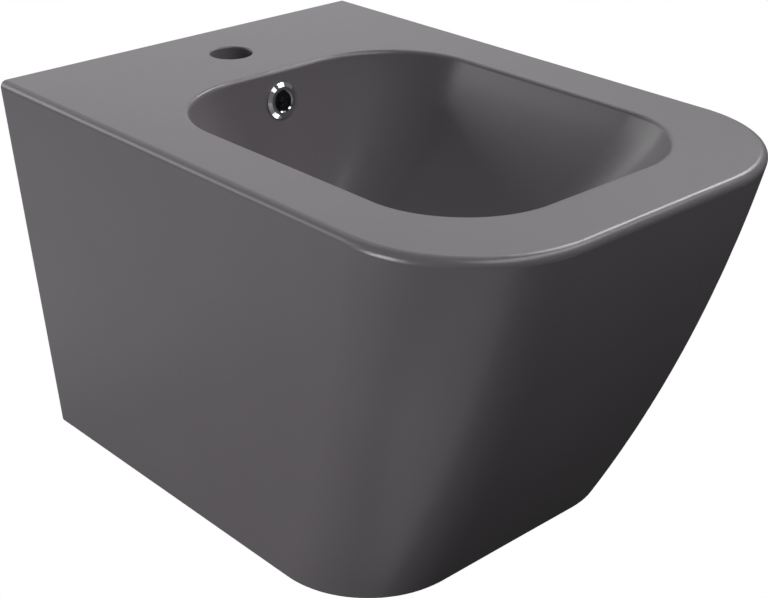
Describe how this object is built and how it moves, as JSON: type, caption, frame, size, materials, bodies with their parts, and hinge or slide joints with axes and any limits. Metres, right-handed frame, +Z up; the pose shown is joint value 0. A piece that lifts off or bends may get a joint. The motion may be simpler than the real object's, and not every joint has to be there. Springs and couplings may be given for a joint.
{
  "type": "wall-hung bidet",
  "caption": "Wall-hung bidet in matte anthracite ceramic with a tapering skirt, oblong bowl, tap hole, chrome overflow ring, click waste and bottle trap.",
  "frame": {"origin": "midway between the two wall fixings, on the wall plane", "axes": "+X to the right seen from the front, +Y into the wall, +Z up"},
  "size_m": [0.3602, 0.5584, 0.3185],
  "materials": {
    "ceramic": "matte anthracite glaze, satin sheen",
    "chrome": "polished",
    "brass": "machined",
    "rubber": "matte",
    "white_plastic": "moulded, slightly glossy",
    "grey_plastic": "moulded",
    "steel": "zinc plated",
    "spring_steel": "drawn stainless wire"
  },
  "bodies": {
    "bidet": {"ceramic_body": "ceramic", "overflow_trim_ring": "chrome", "overflow_clip_sleeve": "grey_plastic", "waste_body": "chrome", "waste_flange_gasket": "rubber", "waste_lower_gasket": "rubber", "waste_washer": "white_plastic", "waste_back_nut": "brass", "click_cartridge": "grey_plastic", "plug_spring": "spring_steel", "trap_union_nut": "white_plastic", "trap_union_seal": "rubber", "trap_dip_tube": "white_plastic", "trap_neck_nut": "white_plastic", "trap_neck_seal": "rubber", "trap_head": "white_plastic", "trap_cup_seal": "rubber", "trap_outlet_nut": "white_plastic", "trap_outlet_seal": "rubber", "trap_outlet_pipe": "white_plastic", "fixing_bushes": "white_plastic", "fixing_washers": "steel", "fixing_nuts": "steel"},
    "plug": {"plug_cap": "chrome", "plug_seal": "rubber", "plug_plunger": "brass"},
    "cup": {"trap_cup": "white_plastic"}
  },
  "joints": [
    {"name": "plug_press", "type": "slide", "parent": "bidet", "child": "plug", "axis": [0, 0, -1], "range_m": [0, 0.008], "stiffness_N_per_m": 400, "springref_m": -0.0075, "deforming": ["plug_spring"]},
    {"name": "trap_cup_drop", "type": "slide", "parent": "bidet", "child": "cup", "axis": [0, 0, -1], "range_m": [0, 0.07]}
  ]
}
